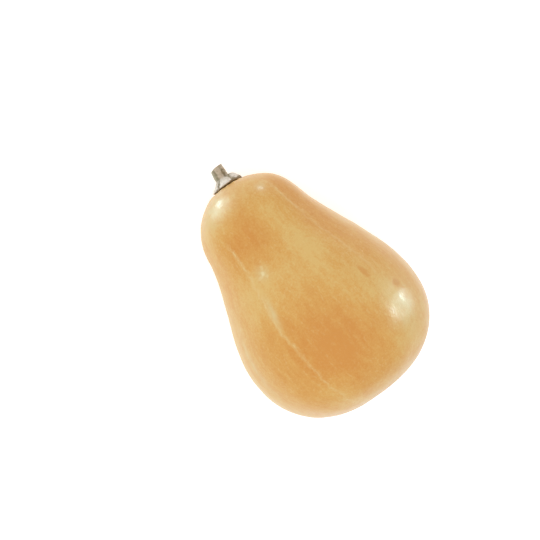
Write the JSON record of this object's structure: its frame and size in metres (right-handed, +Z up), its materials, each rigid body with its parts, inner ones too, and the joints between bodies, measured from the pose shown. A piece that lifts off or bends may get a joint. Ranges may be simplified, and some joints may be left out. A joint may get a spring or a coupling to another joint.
{
  "type": "winter squash",
  "caption": "Pear-shaped tan winter squash with a rounded neck, a full belly and a dried ridged stem stub, lying on its side.",
  "frame": {"origin": "on the ground plane that the squash lies on, under the middle of its bounding box", "axes": "+X along the squash's length, from the stem to the blossom end; +Z up; the fruit's own axis lies in the XZ plane with the stem end 18.2 degrees lower"},
  "size_m": [0.1868, 0.132, 0.1319],
  "materials": {
    "squash_skin": "satin",
    "dry_stem": "matte"
  },
  "bodies": {
    "root": {"fruit": "squash_skin", "stem": "dry_stem"}
  },
  "joints": []
}
